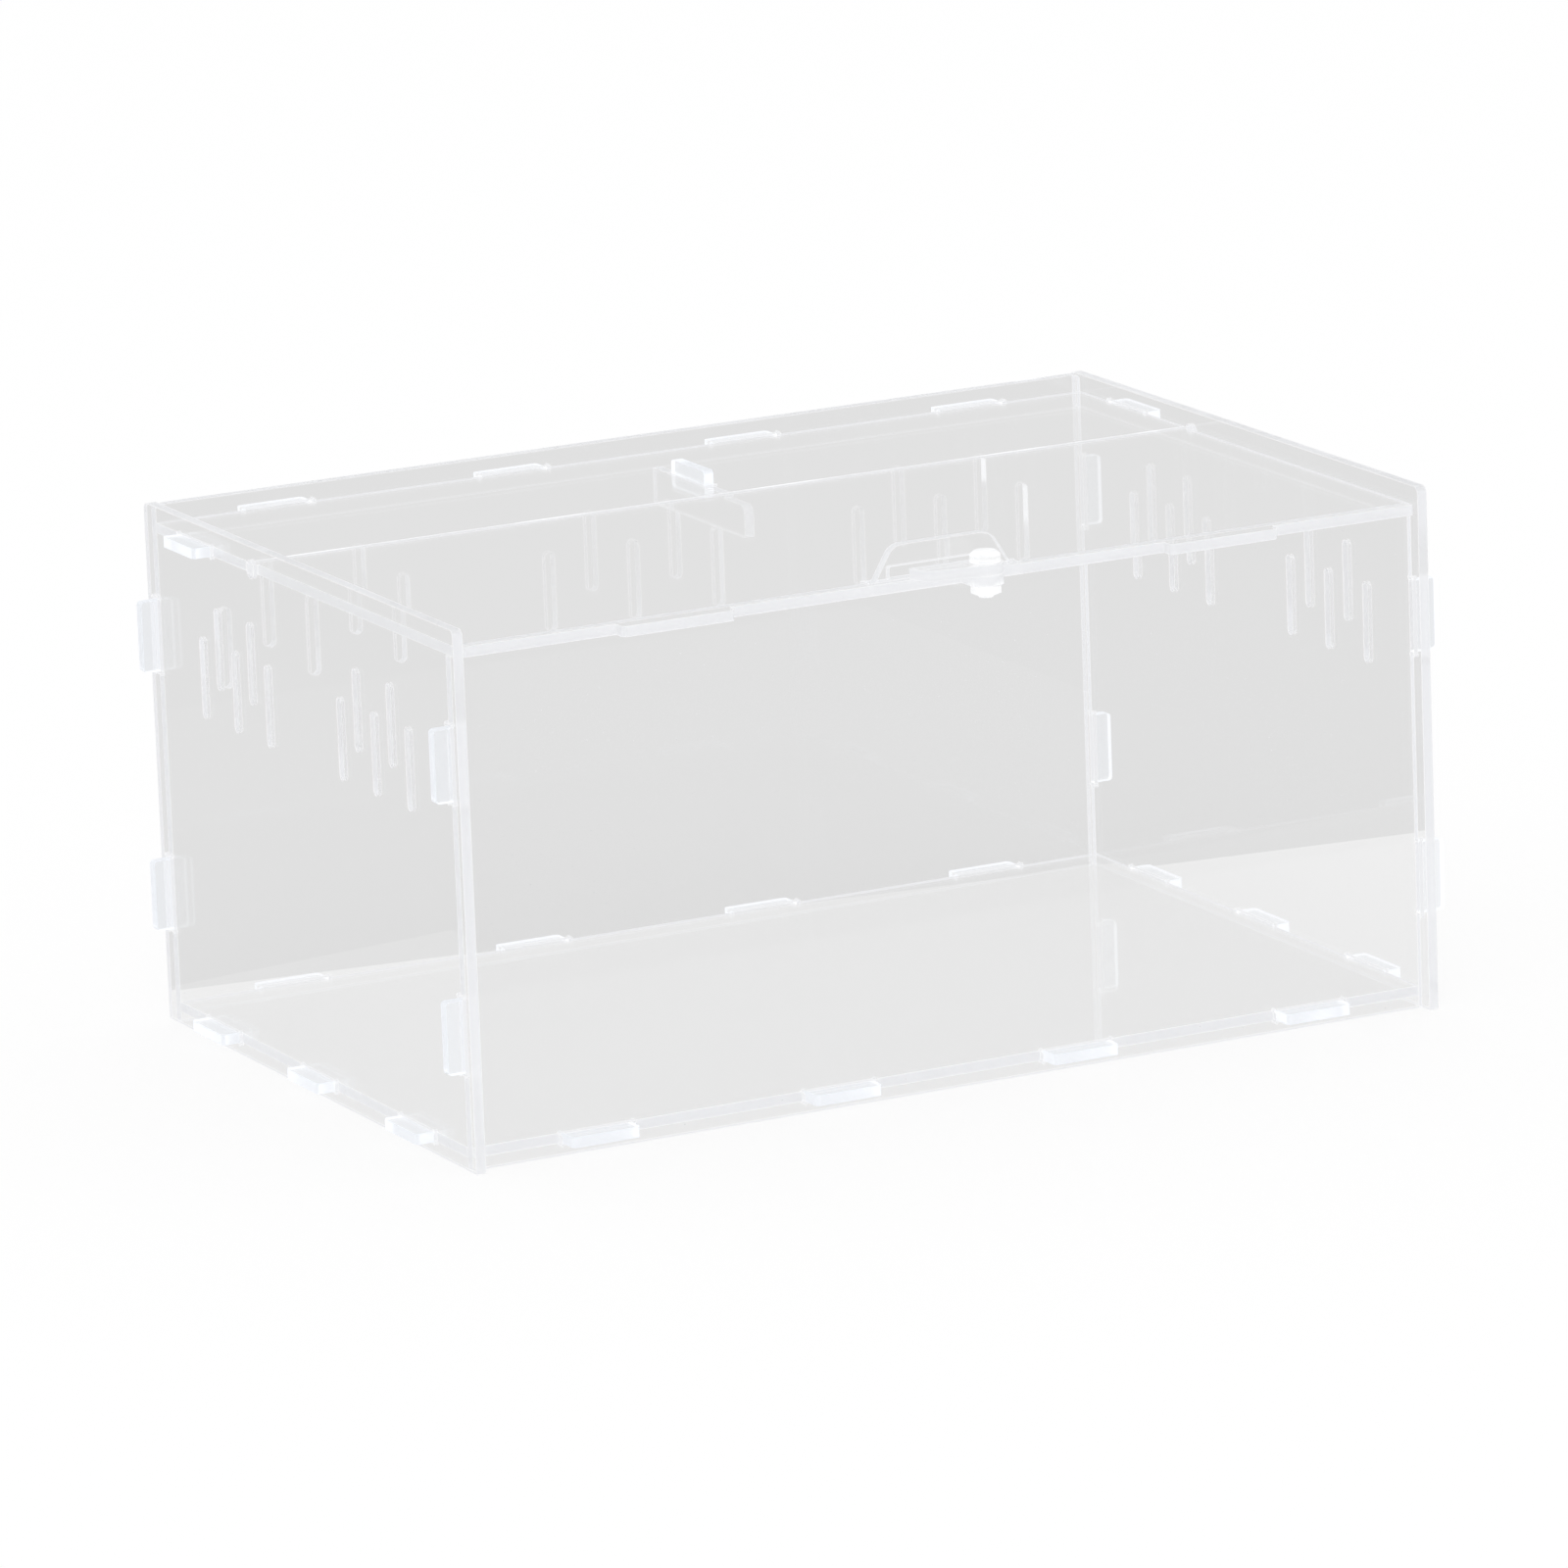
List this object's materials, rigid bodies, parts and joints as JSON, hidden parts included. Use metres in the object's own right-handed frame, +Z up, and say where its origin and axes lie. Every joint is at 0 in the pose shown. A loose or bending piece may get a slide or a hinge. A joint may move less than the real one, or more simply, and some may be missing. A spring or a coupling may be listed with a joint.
{
  "type": "acrylic reptile breeding box",
  "caption": "Clear tab-and-slot acrylic box with slotted vents, a hinged lid with finger tongues and a turning latch arm that swings through an upright ear.",
  "frame": {"origin": "centre of the bounding box on the table, below the middle of the box", "axes": "+X along the length to the right end panel, -Y to the latch at the front, +Z up from the table"},
  "size_m": [0.31, 0.2104, 0.1545],
  "materials": {
    "clear_acrylic": "polished clear",
    "clear_fastener": "moulded clear"
  },
  "bodies": {
    "box": {"left_end_panel": "clear_acrylic", "right_end_panel": "clear_acrylic", "front_panel": "clear_acrylic", "back_panel": "clear_acrylic", "floor_panel": "clear_acrylic", "rear_top_strip": "clear_acrylic", "lid_support_bracket": "clear_acrylic"},
    "lid": {"lid": "clear_acrylic", "latch_screw": "clear_fastener", "latch_nut": "clear_fastener"},
    "latch": {"latch_arm": "clear_acrylic"}
  },
  "joints": [
    {"name": "lid_hinge", "type": "hinge", "parent": "box", "child": "lid", "pos_m": [0, 0.0322, 0.1435], "axis": [-1, 0, 0], "range_deg": [0, 115]},
    {"name": "latch_turn", "type": "hinge", "parent": "lid", "child": "latch", "pos_m": [0.009, -0.1002, 0.1466], "axis": [0, 0, 1], "range_deg": [-25, 90]}
  ]
}
